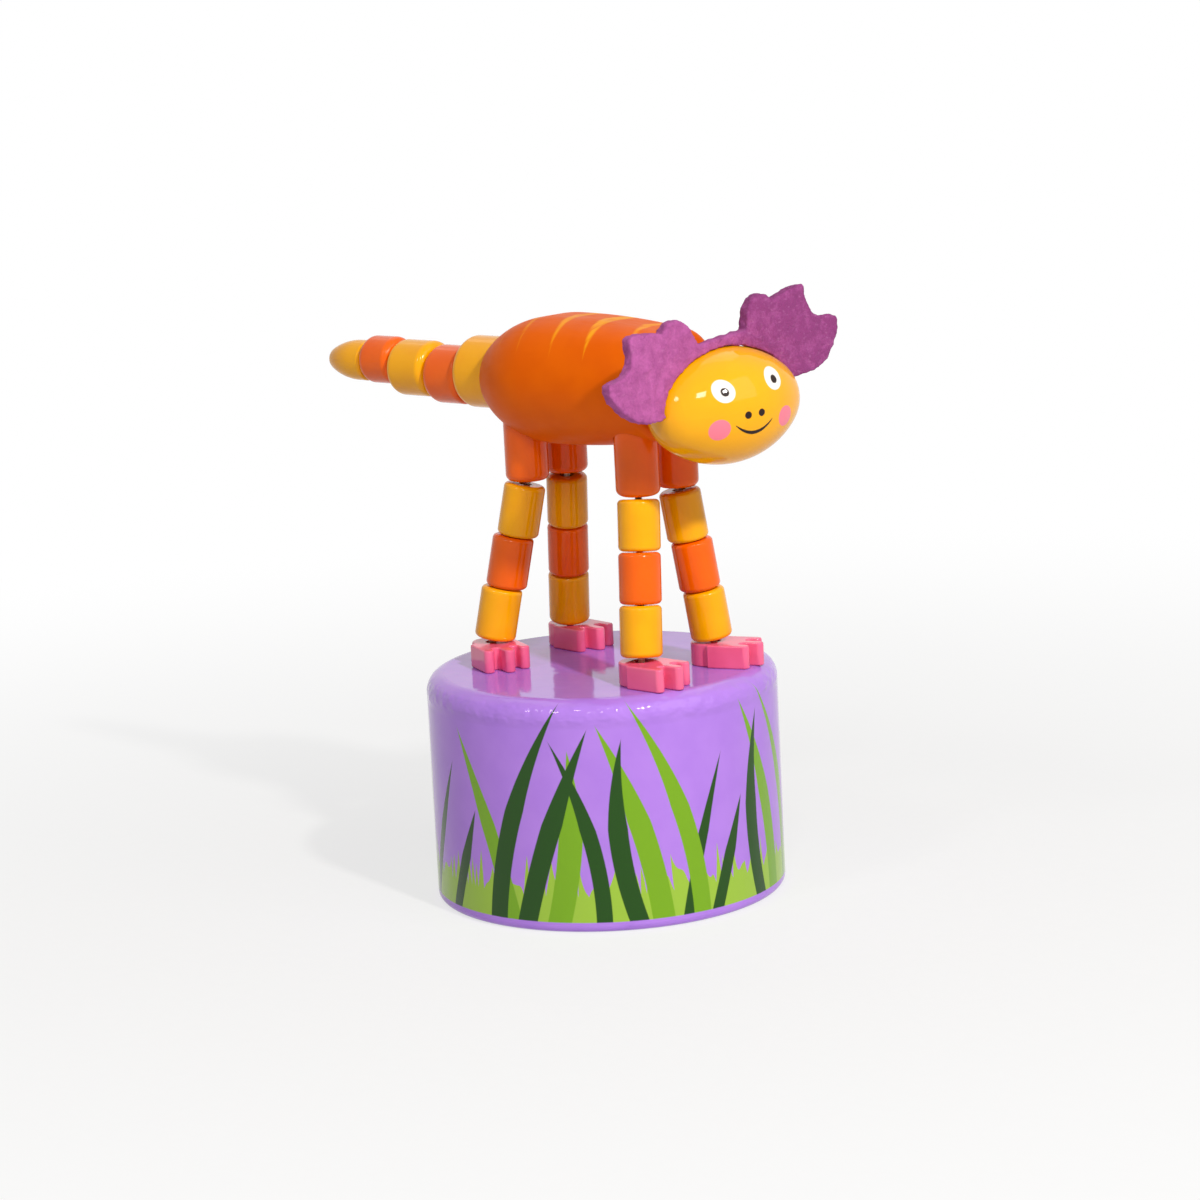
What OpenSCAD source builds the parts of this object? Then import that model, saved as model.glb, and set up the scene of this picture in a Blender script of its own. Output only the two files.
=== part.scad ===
// Push puppet: a beaded wooden lizard that stands on a drum and folds when the button is pressed.
// Millimetres. +X is the way the animal faces, +Y is its left, +Z is up.
// The origin is the middle of the drum's underside.

/* [Drum] */
// Diameter of the drum
drum_d = 50; // [46:0.5:60]
// Height of the drum
drum_h = 32.6; // [30:0.2:40]
// Rounding of the drum's top edge
drum_top_edge = 2.6; // [1:0.1:3.5]
// Rounding of the drum's bottom edge
drum_bottom_edge = 1; // [0.5:0.1:1.5]
// Diameter of the hollow that the button slides in
hollow_d = 38; // [36.5:0.5:40]
// Thickness of wood left above the hollow
ceiling = 5; // [4:0.5:7]

/* [Push button] */
// Thickness of the button
button_h = 7; // [6:0.5:8]
// How far the button sits up inside the drum
button_recess = 5; // [4:0.5:6]
// Gap between the button and the hollow, all round
button_clearance = 0.4; // [0.2:0.05:0.8]
// Depth of the hollow for the thumb
dish_depth = 1; // [0.4:0.1:1.5]
// Height of the boss that centres the spring
boss_h = 1.5; // [1:0.1:2]

/* [Return spring] */
// Diameter of the coil, middle to middle of the wire
coil_d = 20; // [18:0.5:24]
// Diameter of the wire
wire_d = 0.9; // [0.6:0.1:1.2]
// Number of turns
coil_turns = 6; // [4:1:7]

/* [Feet] */
// Length of a foot, heel to toes
foot_l = 10.7; // [9.5:0.1:11.5]
// Width of a foot across the toes
foot_w = 6.9; // [6.2:0.1:7.4]
// Thickness of a foot
foot_h = 3.3; // [2.5:0.1:5]
// Width of the heel
heel_w = 5.4; // [4.6:0.1:6]
// Distance from the heel to the string hole
heel_to_hole = 3.4; // [2.6:0.1:4]
// Depth of the notches between the toes
toe_notch = 1.8; // [1.2:0.1:2.6]
// Width of the notches between the toes
notch_w = 1.2; // [0.8:0.1:1.5]
// How far the middle toe reaches past the others
toe_lead = 1.2; // [0.4:0.1:1.6]
// Turn of each foot: front left, front right, rear left, rear right
foot_turns = [20, 0, -7, -25]; // [-30:1:30]

/* [Legs] */
// Distance between front and rear ankles
ankle_span_x = 27.6; // [24:0.2:32]
// Distance between left and right ankles
ankle_span_y = 15.6; // [14:0.2:19]
// Middle of the four ankles, ahead of the drum's middle
ankle_shift = 0.9; // [-1:0.1:2]
// How far out of place each foot is glued, away from the drum's middle
ankle_outs = [0, 0, 0, 0.6]; // [0:0.1:1]
// Distance between front and rear hips
hip_span_x = 20.8; // [18:0.2:24]
// Distance between left and right hips
hip_span_y = 8.2; // [7.6:0.1:10]
// Middle of the four hips, ahead of the drum's middle
hip_shift = 1.9; // [0:0.1:3]
// Diameter of a leg bead
bead_d = 5.9; // [5:0.1:6.5]
// Lengths of a leg bead, front and rear
bead_l = [7.18, 7.5]; // [5.5:0.01:9]
// Rounding of a leg bead's edges
bead_edge = 0.65; // [0.5:0.05:1.2]
// Diameter of the hole through a leg bead
bead_bore = 1.9; // [1.6:0.1:2.4]
// Gap between two leg beads
bead_gap = 0.14; // [0.1:0.02:0.4]
// Gap left at each end of a leg
leg_end_gap = 0.55; // [0.52:0.01:0.8]
// How much of the leg's lean a bead takes up
bead_tilt_share = 0.75; // [0.6:0.05:1]

/* [Thigh pegs] */
// Diameter of a thigh peg
thigh_d = 6.2; // [5.5:0.1:7]
// How far below the body's middle line the thigh pegs end
thigh_seat = 3.5; // [3:0.1:4.5]
// Rounding of a thigh peg's lower edge
thigh_edge = 1; // [0.5:0.1:1.4]
// Distance from a front thigh's foot up to the body's middle line
thigh_drop = 15; // [14:0.2:17]
// Gap between a thigh peg and its socket, all round
socket_clearance = 0.05; // [0.02:0.01:0.1]

/* [Body] */
// Length of the body
body_l = 30.6; // [29:0.2:33]
// Height of the body at its thickest
body_h = 18; // [17:0.2:20]
// Width of the body at its thickest
body_w = 22; // [20.4:0.2:25]
// Height that the body tapers to at its front
body_front_h = 14.8; // [13:0.2:15.6]
// Height that the body tapers to at its rear
body_rear_h = 10; // [9.6:0.2:12]
// Rounding of the body's end edges
body_edge = 1.2; // [0.8:0.1:1.8]
// Thickest place of the body, ahead of the drum's middle
body_peak = -3.3; // [-4:0.1:-1]
// Front of the body, ahead of the drum's middle
body_front_x = 16.4; // [15:0.2:18]
// Diameter of the hole along the body
body_bore = 5; // [4.6:0.2:5.2]

/* [Tail] */
// Lengths of the four tail beads, from the body outwards
tail_l = [7.6, 6.8, 7.4, 6.2]; // [4:0.1:10]
// Diameters of the four tail beads
tail_d = [10.4, 8.5, 8.2, 7]; // [6:0.1:12]
// Heights of the four tail beads above the body's middle line
tail_rise = [0.1, -0.6, 0, 0.9]; // [-1:0.1:1]
// Rounding of the tail beads' edges
tail_edge = 1.25; // [0.5:0.05:1.6]
// Diameter of the hole through a tail bead
tail_bore = 3.2; // [3:0.1:3.6]
// Gap between two tail pieces
tail_gap = 0.12; // [0.1:0.02:0.4]
// Length of the tail tip
tip_l = 8.3; // [6:0.1:11]
// Diameter of the tail tip
tip_d = 6; // [5.4:0.1:7]
// Height of the tail tip above the body's middle line
tip_rise = 0.6; // [0:0.1:1]
// Length of the tail tip's straight part
tip_straight = 2; // [1:0.1:4]
// Rounding of the tail tip's front edge
tip_edge = 0.6; // [0.3:0.1:1]

/* [Head] */
// Width of the head, ear to ear
head_w = 22.8; // [20:0.2:25]
// Height and depth of the head
head_h = 16; // [14:0.2:18]
// How far the head's middle lies below the body's middle line
head_drop = 2.35; // [0:0.05:3]
// Gap between the head and the body
head_gap = 0.15; // [0.1:0.05:0.6]
// Turn of the head to its right
head_yaw = 16; // [0:1:18]
// Tilt of the head to its right
head_roll = 3.8; // [0:0.1:6]
// Depth of the cord hole in the head
head_bore_depth = 7; // [5:0.5:8]

/* [Frill] */
// Thickness of the felt
felt = 2; // [1:0.1:3]
// Span of the frill, tooth to tooth
frill_span = 40.4; // [36:0.2:46]
// Height of the frill's top teeth above the head's middle
frill_top = 13.4; // [12:0.1:15]
// How far ahead of the head's middle the frill stands
frill_ahead = 0.7; // [0:0.1:2.5]
// How far to the left of the head's middle the frill sits
frill_shift = 0.9; // [0:0.1:1.5]
// Height of the felt strip over the middle of the head
strip_h = 1.3; // [0.6:0.1:2]
// Tilts of the frill: to its right, back, and turn to its right
frill_tilts = [7.7, 4.2, 11.8]; // [0:0.1:14]
// Gap between the frill and the head, where it is glued
frill_clearance = 0.1; // [0.05:0.05:0.3]

/* [Strings] */
// Diameter of a leg string
string_d = 1; // [0.6:0.1:1.2]
// Diameter of the twisted cord in the neck
neck_cord_d = 1.6; // [1.2:0.1:1.8]
// Diameter of the string holes in feet, drum and button
string_hole = 1.7; // [1.4:0.1:2]
// Diameter of the knots under the button
knot_d = 2.6; // [2:0.1:3]

/* [Hidden] */
front = 1;
rear = -1;
left = 1;
right = -1;

// Each leg is [front or rear, left or right, turn of its foot, its foot's misplacing].
front_left = [front, left, foot_turns[0], ankle_outs[0]];
front_right = [front, right, foot_turns[1], ankle_outs[1]];
rear_left = [rear, left, foot_turns[2], ankle_outs[2]];
rear_right = [rear, right, foot_turns[3], ankle_outs[3]];
legs = [front_left, front_right, rear_left, rear_right];

// Places of the beads on a leg, from the top
upper = 1;
middle = 0;
lower = -1;

// Extra length that makes a cut run clear of the solid it cuts
over = 1;

// Small sizes of the button, the knots, the spring and the strings' bends
button_edge = 0.8;
dish_rim = 2;
knot_room = 0.4;
seat_gap = 0.05;
turn_steps = 16;
wire_facets = 6;
bend_room = 0.6;

// Heights
drum_ceiling_z = drum_h - ceiling;
button_top_z = button_recess + button_h;
foot_top_z = drum_h + foot_h;

// A leg reaches from its ankle, on the foot, to its hip, on the thigh.
function ankle_place(leg) = [ankle_shift + leg[0] * ankle_span_x / 2, leg[1] * ankle_span_y / 2];
function ankle_xy(leg) = ankle_place(leg) + leg[3] * unit(ankle_place(leg));
function hip_xy(leg) = [hip_shift + leg[0] * hip_span_x / 2, leg[1] * hip_span_y / 2];

// The beads of the left legs set the height of the hips.
function bead_length(leg) = leg[0] == front ? bead_l[0] : bead_l[1];
function leg_reach(leg) = 3 * bead_length(leg) + 2 * bead_gap + 2 * leg_end_gap;
function leg_spread(leg) = norm(hip_xy(leg) - ankle_xy(leg));
function leg_rise(leg) = sqrt(pow(leg_reach(leg), 2) - pow(leg_spread(leg), 2));
front_hip_z = foot_top_z + leg_rise(front_left);
rear_hip_z = foot_top_z + leg_rise(rear_left);
function hip_z(leg) = leg[0] == front ? front_hip_z : rear_hip_z;
body_z = front_hip_z + thigh_drop;
thigh_top_z = body_z - thigh_seat;

function ankle(leg) = [ankle_xy(leg).x, ankle_xy(leg).y, foot_top_z];
function hip(leg) = [hip_xy(leg).x, hip_xy(leg).y, hip_z(leg)];
function thigh_top(leg) = [hip_xy(leg).x, hip_xy(leg).y, thigh_top_z];
function unit(v) = v / norm(v);
function leg_line(leg) = unit(hip(leg) - ankle(leg));
function leg_middle(leg) = (hip(leg) + ankle(leg)) / 2;
function bead_step(leg) = (bead_length(leg) + bead_gap) * leg_line(leg);
function bead_centre(leg, place) = leg_middle(leg) + place * bead_step(leg);

// Ends of the body, and the places of the tail pieces behind it
body_rear_x = body_front_x - body_l;
socket_room = 5;
thigh_top_edge = 0.4;
function tail_before(i) = i == 0 ? tail_gap : tail_before(i - 1) + tail_l[i - 1] + tail_gap;
function tail_front_x(i) = body_rear_x - tail_before(i);
function tail_middle(i) = [tail_front_x(i) - tail_l[i] / 2, 0, body_z + tail_rise[i]];
tip_front = [tail_front_x(4), 0, body_z + tip_rise];
tip_hole_depth = 4;
tip_nose_r = 0.32 * tip_d;

// The head stands off the body by its gap, and its depth is measured along its own turn.
head_back = sqrt(pow(head_h / 2 * cos(head_yaw), 2) + pow(head_w / 2 * sin(head_yaw), 2));
head_centre = [body_front_x + head_gap + head_back, 0, body_z - head_drop];
head_end_r = 0.375 * head_h;
neck_bore = neck_cord_d + 0.6;
neck_hole_clear = 0.5;

// Outline of one side of the frill, outwards and up from the head's middle
frill_out = frill_span / 2;
frill_half = [
    [0, head_h / 2 + strip_h],
    [4.2, head_h / 2 + strip_h - 0.1],
    [5.2, frill_top - 1.4],
    [6.4, frill_top - 0.2],
    [7.4, frill_top],
    [8.6, frill_top - 0.2],
    [9.7, frill_top - 1.3],
    [11.2, frill_top - 0.9],
    [frill_out - 6.4, frill_top - 0.4],
    [frill_out - 4.8, frill_top - 0.5],
    [frill_out - 4.8, frill_top - 3],
    [frill_out - 4.3, frill_top - 4.4],
    [frill_out - 3.2, frill_top - 5.3],
    [frill_out - 0.2, frill_top - 5.8],
    [frill_out, frill_top - 6.6],
    [frill_out - 0.4, frill_top - 8.2],
    [frill_out - 1.6, frill_top - 10],
    [frill_out - 3.4, frill_top - 11.6],
    [frill_out - 5.6, frill_top - 12.5],
    [head_w / 2 - 1.5, frill_top - 12.5],
    [head_w / 2 - 3, frill_top - 10],
    [0, frill_top - 10]
];
tooth_rounding = 0.5;

// Smoothness of turned pieces
turned = 96;
edge_round = 32;

orange = "#e8690c";
yellow = "#f6b414";
pink = "#e8708f";
purple = "#9c73d8";
felt_purple = "#b2589f";
bare_wood = "#d9b98c";
steel = "#a8abb0";
string_white = "#e9e2d0";

// Which piece to draw

// Half section of a rod with rounded edges, standing on z = 0
module rod_section(radius, length, low_edge, high_edge) {
    translate([0, low_edge]) square([radius, length - low_edge - high_edge]);
    square([radius - low_edge, length / 2]);
    translate([0, length / 2]) square([radius - high_edge, length / 2]);
    translate([radius - low_edge, low_edge]) circle(low_edge, $fn = edge_round);
    translate([radius - high_edge, length - high_edge]) circle(high_edge, $fn = edge_round);
}

// A turned bead with a hole along it, centred on the origin and standing along z
module bead(diameter, length, edge, bore) {
    translate([0, 0, -length / 2])
        rotate_extrude($fn = turned)
            intersection() {
                rod_section(diameter / 2, length, edge, edge);
                translate([bore / 2, 0]) square([diameter, length]);
            }
}

// Turns z onto a direction
module along(direction) {
    polar = acos(direction.z);
    around = atan2(direction.y, direction.x);
    rotate([0, polar, around]) rotate([0, 0, -around]) children();
}

// A round cord along a path, its section carried from point to point without twist
function tangent(path, i) =
    unit(path[min(i + 1, len(path) - 1)] - path[max(i - 1, 0)]);
function square_to(v, t) = unit(v - (v * t) * t);
function sides_of(path, i, before) =
    i >= len(path) ? [] :
    let (side = square_to(before, tangent(path, i)))
    concat([side], sides_of(path, i + 1, side));

module cord(path, diameter, facets) {
    start = abs(tangent(path, 0).y) < 0.7 ? [0, 1, 0] : [1, 0, 0];
    sides = sides_of(path, 0, start);
    rings = len(path);
    points = [
        for (i = [0:rings - 1])
            for (k = [0:facets - 1])
                let (turn = 360 * k / facets)
                let (other = cross(tangent(path, i), sides[i]))
                path[i] + diameter / 2 * (cos(turn) * sides[i] + sin(turn) * other)
    ];
    wall = [
        for (i = [0:rings - 2])
            for (k = [0:facets - 1])
                for (half = [0, 1])
                    let (a = i * facets + k)
                    let (b = i * facets + (k + 1) % facets)
                    half == 0 ? [a, a + facets, b] : [b, a + facets, b + facets]
    ];
    low_cap = [for (k = [1:facets - 2]) [0, k, k + 1]];
    top = (rings - 1) * facets;
    high_cap = [for (k = [1:facets - 2]) [top, top + k + 1, top + k]];
    polyhedron(points = points, faces = concat(wall, low_cap, high_cap), convexity = 6);
}

module base_drum() {
    color(purple)
        difference() {
            rotate_extrude($fn = turned)
                difference() {
                    rod_section(drum_d / 2, drum_h, drum_bottom_edge, drum_top_edge);
                    square([hollow_d / 2, drum_ceiling_z]);
                }
            for (leg = legs)
                translate([ankle(leg).x, ankle(leg).y, drum_ceiling_z - over])
                    cylinder(d = string_hole, h = ceiling + 2 * over, $fn = edge_round);
        }
}

module push_button() {
    button_d = hollow_d - 2 * button_clearance;
    dish_r = button_d / 2 - dish_rim;
    dish_sphere = (dish_r * dish_r + dish_depth * dish_depth) / (2 * dish_depth);
    boss_d = coil_d - wire_d - 2 * button_clearance;
    knot_recess = knot_d + knot_room;
    color(bare_wood)
        difference() {
            union() {
                translate([0, 0, button_recess])
                    rotate_extrude($fn = turned) rod_section(button_d / 2, button_h, button_edge, button_edge);
                translate([0, 0, button_top_z - over])
                    cylinder(d = boss_d, h = boss_h + over, $fn = turned);
            }
            translate([0, 0, button_recess + dish_depth - dish_sphere])
                sphere(dish_sphere, $fn = turned);
            for (leg = legs)
                translate([ankle(leg).x, ankle(leg).y, button_recess - over]) {
                    cylinder(d = string_hole, h = button_h + 2 * over, $fn = edge_round);
                    cylinder(d = knot_recess, h = knot_recess + over, $fn = edge_round);
                }
        }
}

module return_spring() {
    low_z = button_top_z + wire_d / 2 + seat_gap;
    high_z = drum_ceiling_z - wire_d / 2 - seat_gap;
    steps = turn_steps * coil_turns;
    path = [
        for (i = [0:steps])
            let (turn = 360 * coil_turns * i / steps)
            [coil_d / 2 * cos(turn), coil_d / 2 * sin(turn), low_z + (high_z - low_z) * i / steps]
    ];
    color(steel) cord(path, wire_d, wire_facets);
}

// Outline of a foot seen from above, its ankle on the origin and its toes along x
module foot_outline() {
    toe_w = (foot_w - 2 * notch_w) / 3;
    toe_x = foot_l - heel_to_hole - toe_lead;
    notch_x = toe_x - toe_notch + notch_w / 2;
    heel_x = heel_w / 2 - heel_to_hole;
    difference() {
        union() {
            translate([heel_x, 0]) circle(heel_w / 2, $fn = edge_round);
            polygon([
                [heel_x, -heel_w / 2],
                [notch_x, -foot_w / 2],
                [notch_x, foot_w / 2],
                [heel_x, heel_w / 2]
            ]);
            for (toe = [-1, 0, 1])
                let (tip_x = toe_x - toe_w / 2 + (toe == 0 ? toe_lead : 0))
                    translate([0, toe * (toe_w + notch_w)]) {
                        translate([0, -toe_w / 2]) square([tip_x, toe_w]);
                        translate([tip_x, 0]) circle(toe_w / 2, $fn = edge_round);
                    }
        }
        for (side = [left, right])
            translate([notch_x, side * (toe_w + notch_w) / 2]) circle(notch_w / 2, $fn = edge_round);
    }
}

// A flat foot with three rounded toes
module foot(leg) {
    color(pink)
        translate([ankle(leg).x, ankle(leg).y, drum_h])
            rotate([0, 0, leg[2]])
                difference() {
                    linear_extrude(foot_h) foot_outline();
                    translate([0, 0, -over])
                        cylinder(d = string_hole, h = foot_h + 2 * over, $fn = edge_round);
                }
}

module leg_bead(leg, place) {
    lean = acos(leg_line(leg).z);
    around = atan2(leg_line(leg).y, leg_line(leg).x);
    tilt = bead_tilt_share * lean;
    direction = [sin(tilt) * cos(around), sin(tilt) * sin(around), cos(tilt)];
    color(place == middle ? orange : yellow)
        translate(bead_centre(leg, place))
            along(direction) bead(bead_d, bead_length(leg), bead_edge, bead_bore);
}

module thigh(leg) {
    length = thigh_top_z - hip_z(leg);
    color(orange)
        translate(hip(leg))
            rotate_extrude($fn = turned)
                intersection() {
                    rod_section(thigh_d / 2, length, thigh_edge, thigh_top_edge);
                    translate([bead_bore / 2, 0]) square([thigh_d, length]);
                }
}

// Half section of the body from its thickest place, on z = 0, to one end
module body_half(reach, end_h) {
    sag = (body_h - end_h) / 2;
    arc = (reach * reach + sag * sag) / (2 * sag);
    edge_z = reach - body_edge;
    edge_r = body_h / 2 - arc + sqrt(pow(arc - body_edge, 2) - edge_z * edge_z);
    meet_z = edge_z * arc / (arc - body_edge);
    intersection() {
        translate([body_h / 2 - arc, 0]) circle(arc, $fn = 4 * turned);
        square([body_h, reach]);
        union() {
            square([body_h, meet_z]);
            square([edge_r, reach]);
            translate([edge_r, edge_z]) circle(body_edge, $fn = edge_round);
        }
    }
}

// Half section of the body along its length, its rear end on z = 0
module body_section() {
    peak = body_peak - body_rear_x;
    translate([0, peak]) {
        body_half(body_l - peak, body_front_h);
        mirror([0, 1]) body_half(peak, body_rear_h);
    }
}

// The body is a barrel split down the middle with a slab between its halves
module body_blank() {
    slab = body_w - body_h;
    translate([body_rear_x, 0, body_z])
        rotate([0, 90, 0]) {
            for (side = [left, right])
                translate([0, side * slab / 2, 0])
                    intersection() {
                        rotate_extrude($fn = turned) body_section();
                        translate([-body_h, side == left ? 0 : -body_h, -over])
                            cube([2 * body_h, body_h, body_l + 2 * over]);
                    }
            rotate([90, 0, 0])
                translate([0, 0, -slab / 2])
                    linear_extrude(slab) {
                        body_section();
                        mirror([1, 0]) body_section();
                    }
        }
}

// The blank is drilled along its length and for its four legs.
module body_barrel() {
    color(orange)
        difference() {
            body_blank();
            translate([body_rear_x - over, 0, body_z])
                rotate([0, 90, 0])
                    cylinder(d = body_bore, h = body_l + 2 * over, $fn = turned);
            for (leg = legs)
                translate(hip(leg))
                    cylinder(d = thigh_d + 2 * socket_clearance, h = thigh_top_z + socket_room - hip_z(leg), $fn = turned);
        }
}

module tail_bead(i) {
    color(i % 2 == 0 ? yellow : orange)
        translate(tail_middle(i))
            rotate([0, 90, 0]) bead(tail_d[i], tail_l[i], tail_edge, tail_bore);
}

// Half section of an oval of true arcs, its long axis along y and its ends of a given radius
module oval_section(half_long, half_wide, end_r) {
    end_y = half_long - end_r;
    side_r = (end_y * end_y + half_wide * half_wide - end_r * end_r) / (2 * (half_wide - end_r));
    meet_y = end_y + end_r * end_y / (side_r - end_r);
    intersection() {
        union() {
            intersection() {
                translate([half_wide - side_r, 0]) circle(side_r, $fn = 2 * turned);
                translate([0, -meet_y]) square([half_wide, 2 * meet_y]);
            }
            for (end = [-1, 1])
                translate([0, end * end_y]) circle(end_r, $fn = turned);
        }
        translate([0, -half_long]) square([half_wide, 2 * half_long]);
    }
}

// The tip is a short peg that tapers to a round end, with a blind hole for the strings
module tail_tip() {
    tip_r = tip_d / 2;
    taper = tip_l - tip_straight;
    color(yellow)
        translate(tip_front)
            rotate([0, -90, 0])
                difference() {
                    rotate_extrude($fn = turned)
                        union() {
                            square([tip_r - tip_edge, tip_straight]);
                            translate([0, tip_edge]) square([tip_r, tip_straight - tip_edge]);
                            translate([tip_r - tip_edge, tip_edge]) circle(tip_edge, $fn = edge_round);
                            translate([0, tip_straight])
                                intersection() {
                                    oval_section(taper, tip_r, tip_nose_r);
                                    square([tip_r, taper]);
                                }
                        }
                    translate([0, 0, -over])
                        cylinder(d = tail_bore, h = tip_hole_depth + over, $fn = edge_round);
                }
}

// An egg with its long axis ear to ear, larger all round by a given amount
module head_egg(larger) {
    translate(head_centre)
        rotate([head_roll, 0, -head_yaw])
            rotate([90, 0, 0])
                rotate_extrude($fn = turned)
                    oval_section(head_w / 2 + larger, head_h / 2 + larger, head_end_r + larger);
}

module head() {
    color(yellow)
        difference() {
            head_egg(0);
            translate([body_front_x, 0, body_z])
                rotate([0, 90, 0])
                    cylinder(d = neck_bore, h = head_gap + head_bore_depth, $fn = edge_round);
        }
}

// Felt cut flat and glued over the top of the head
module frill() {
    outline = concat(frill_half, [for (i = [len(frill_half) - 2:-1:1]) [-frill_half[i].x, frill_half[i].y]]);
    color(felt_purple)
        difference() {
            translate(head_centre)
                rotate([frill_tilts[0], -frill_tilts[1], -frill_tilts[2]])
                    translate([frill_ahead + felt / 2, frill_shift, 0])
                        rotate([90, 0, -90])
                            linear_extrude(felt)
                                offset(tooth_rounding, $fn = 12)
                                    offset(-tooth_rounding)
                                        polygon(outline);
            head_egg(frill_clearance);
        }
}

// Two front strings twisted into one, from the body's front into the head
module neck_cord() {
    color(string_white)
        translate([body_front_x, 0, body_z])
            rotate([0, 90, 0])
                cylinder(d = neck_cord_d, h = head_gap + head_bore_depth - neck_hole_clear, $fn = edge_round);
}

// A leg string from its knot to where it turns along the body
function rise_path(leg) = [
    [ankle(leg).x, ankle(leg).y, button_recess + knot_d / 2],
    [ankle(leg).x, ankle(leg).y, foot_top_z - bend_room],
    ankle(leg) + bend_room * leg_line(leg),
    hip(leg) - bend_room * leg_line(leg),
    hip(leg) + [0, 0, bend_room],
    thigh_top(leg)
];

// The turn from the thigh into the hole along the body
pair_y = string_d / 2 + 0.05;
function turn_path(leg) =
    let (from = thigh_top(leg))
    let (to = [from.x + leg[0] * 4, leg[1] * pair_y, body_z])
    [
        [from.x + leg[0] * 0.3, from.y - leg[1] * 0.35, from.z + 1.7],
        [from.x + leg[0] * 1.1, (from.y + to.y) / 2, to.z - 0.75],
        [from.x + leg[0] * 2.4, to.y + leg[1] * 0.5, to.z - 0.15],
        to
    ];

// The rear strings run on through the tail beads to the tip
function tail_path(leg) = concat(
    [[body_rear_x, leg[1] * pair_y, body_z]],
    [for (i = [0:3]) tail_middle(i) + [0, leg[1] * pair_y, 0]],
    [tip_front + [-tip_hole_depth + neck_hole_clear, leg[1] * pair_y, 0]]
);
function front_path(leg) = [[body_front_x - 0.1, leg[1] * pair_y, body_z]];

module leg_string(leg) {
    run = leg[0] == front ? front_path(leg) : tail_path(leg);
    color(string_white)
        union() {
            cord(concat(rise_path(leg), turn_path(leg), run), string_d, 8);
            translate([ankle(leg).x, ankle(leg).y, button_recess + knot_d / 2 + 0.2])
                sphere(knot_d / 2, $fn = 24);
        }
}

base_drum();
push_button();
return_spring();
foot(front_left);  // front_left_foot
foot(front_right);  // front_right_foot
foot(rear_left);  // rear_left_foot
foot(rear_right);  // rear_right_foot
leg_bead(front_left, lower);  // front_left_lower_bead
leg_bead(front_left, middle);  // front_left_middle_bead
leg_bead(front_left, upper);  // front_left_upper_bead
leg_bead(front_right, lower);  // front_right_lower_bead
leg_bead(front_right, middle);  // front_right_middle_bead
leg_bead(front_right, upper);  // front_right_upper_bead
leg_bead(rear_left, lower);  // rear_left_lower_bead
leg_bead(rear_left, middle);  // rear_left_middle_bead
leg_bead(rear_left, upper);  // rear_left_upper_bead
leg_bead(rear_right, lower);  // rear_right_lower_bead
leg_bead(rear_right, middle);  // rear_right_middle_bead
leg_bead(rear_right, upper);  // rear_right_upper_bead
thigh(front_left);  // front_left_thigh
thigh(front_right);  // front_right_thigh
thigh(rear_left);  // rear_left_thigh
thigh(rear_right);  // rear_right_thigh
body_barrel();
tail_bead(0);  // tail_bead_1
tail_bead(1);  // tail_bead_2
tail_bead(2);  // tail_bead_3
tail_bead(3);  // tail_bead_4
tail_tip();
head();
frill();
neck_cord();
leg_string(front_left);  // front_left_string
leg_string(front_right);  // front_right_string
leg_string(rear_left);  // rear_left_string
leg_string(rear_right);  // rear_right_string
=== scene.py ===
import math

import bmesh
import bpy
from mathutils import Euler, Matrix, Vector, noise


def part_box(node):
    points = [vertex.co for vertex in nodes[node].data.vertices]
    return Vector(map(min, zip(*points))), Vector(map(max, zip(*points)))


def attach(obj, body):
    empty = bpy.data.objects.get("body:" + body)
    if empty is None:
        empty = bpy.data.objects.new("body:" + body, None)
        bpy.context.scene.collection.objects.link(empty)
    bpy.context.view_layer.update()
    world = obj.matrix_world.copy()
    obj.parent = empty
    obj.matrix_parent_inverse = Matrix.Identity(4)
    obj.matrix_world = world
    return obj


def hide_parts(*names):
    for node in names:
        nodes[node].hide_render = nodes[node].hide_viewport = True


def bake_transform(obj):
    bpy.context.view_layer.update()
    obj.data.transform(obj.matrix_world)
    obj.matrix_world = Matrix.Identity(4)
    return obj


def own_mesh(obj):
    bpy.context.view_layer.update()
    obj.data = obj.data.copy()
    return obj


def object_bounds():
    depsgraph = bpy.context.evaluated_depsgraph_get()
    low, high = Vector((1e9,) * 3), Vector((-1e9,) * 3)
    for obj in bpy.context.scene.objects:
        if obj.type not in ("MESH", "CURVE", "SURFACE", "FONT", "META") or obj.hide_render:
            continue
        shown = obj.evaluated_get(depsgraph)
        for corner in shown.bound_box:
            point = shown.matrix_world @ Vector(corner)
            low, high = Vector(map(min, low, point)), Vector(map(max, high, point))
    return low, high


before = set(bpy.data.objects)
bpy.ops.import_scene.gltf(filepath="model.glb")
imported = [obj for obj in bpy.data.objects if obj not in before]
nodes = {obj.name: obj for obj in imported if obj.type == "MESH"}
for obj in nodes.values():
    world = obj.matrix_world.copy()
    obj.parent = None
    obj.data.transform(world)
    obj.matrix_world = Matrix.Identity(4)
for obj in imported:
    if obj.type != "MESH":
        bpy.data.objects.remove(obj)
cad_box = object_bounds()

MM = 0.001
LEGS = ["front_left", "front_right", "rear_left", "rear_right"]

# Camera, as the photograph was taken
photo_width = 1200
sensor_width = 36
focal_pixels = 3526
camera_distance = 500 * MM
camera_azimuth = math.radians(42.35)
camera_elevation = math.radians(10.64)
camera_roll = math.radians(-2.9)
camera_target = Vector((0, 0, 45 * MM))
aim_right = 0.31 * MM
aim_up = -3.21 * MM

# Sizes read from the solids
def middle_of(node):
    low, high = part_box(node)
    return (low + high) / 2


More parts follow.
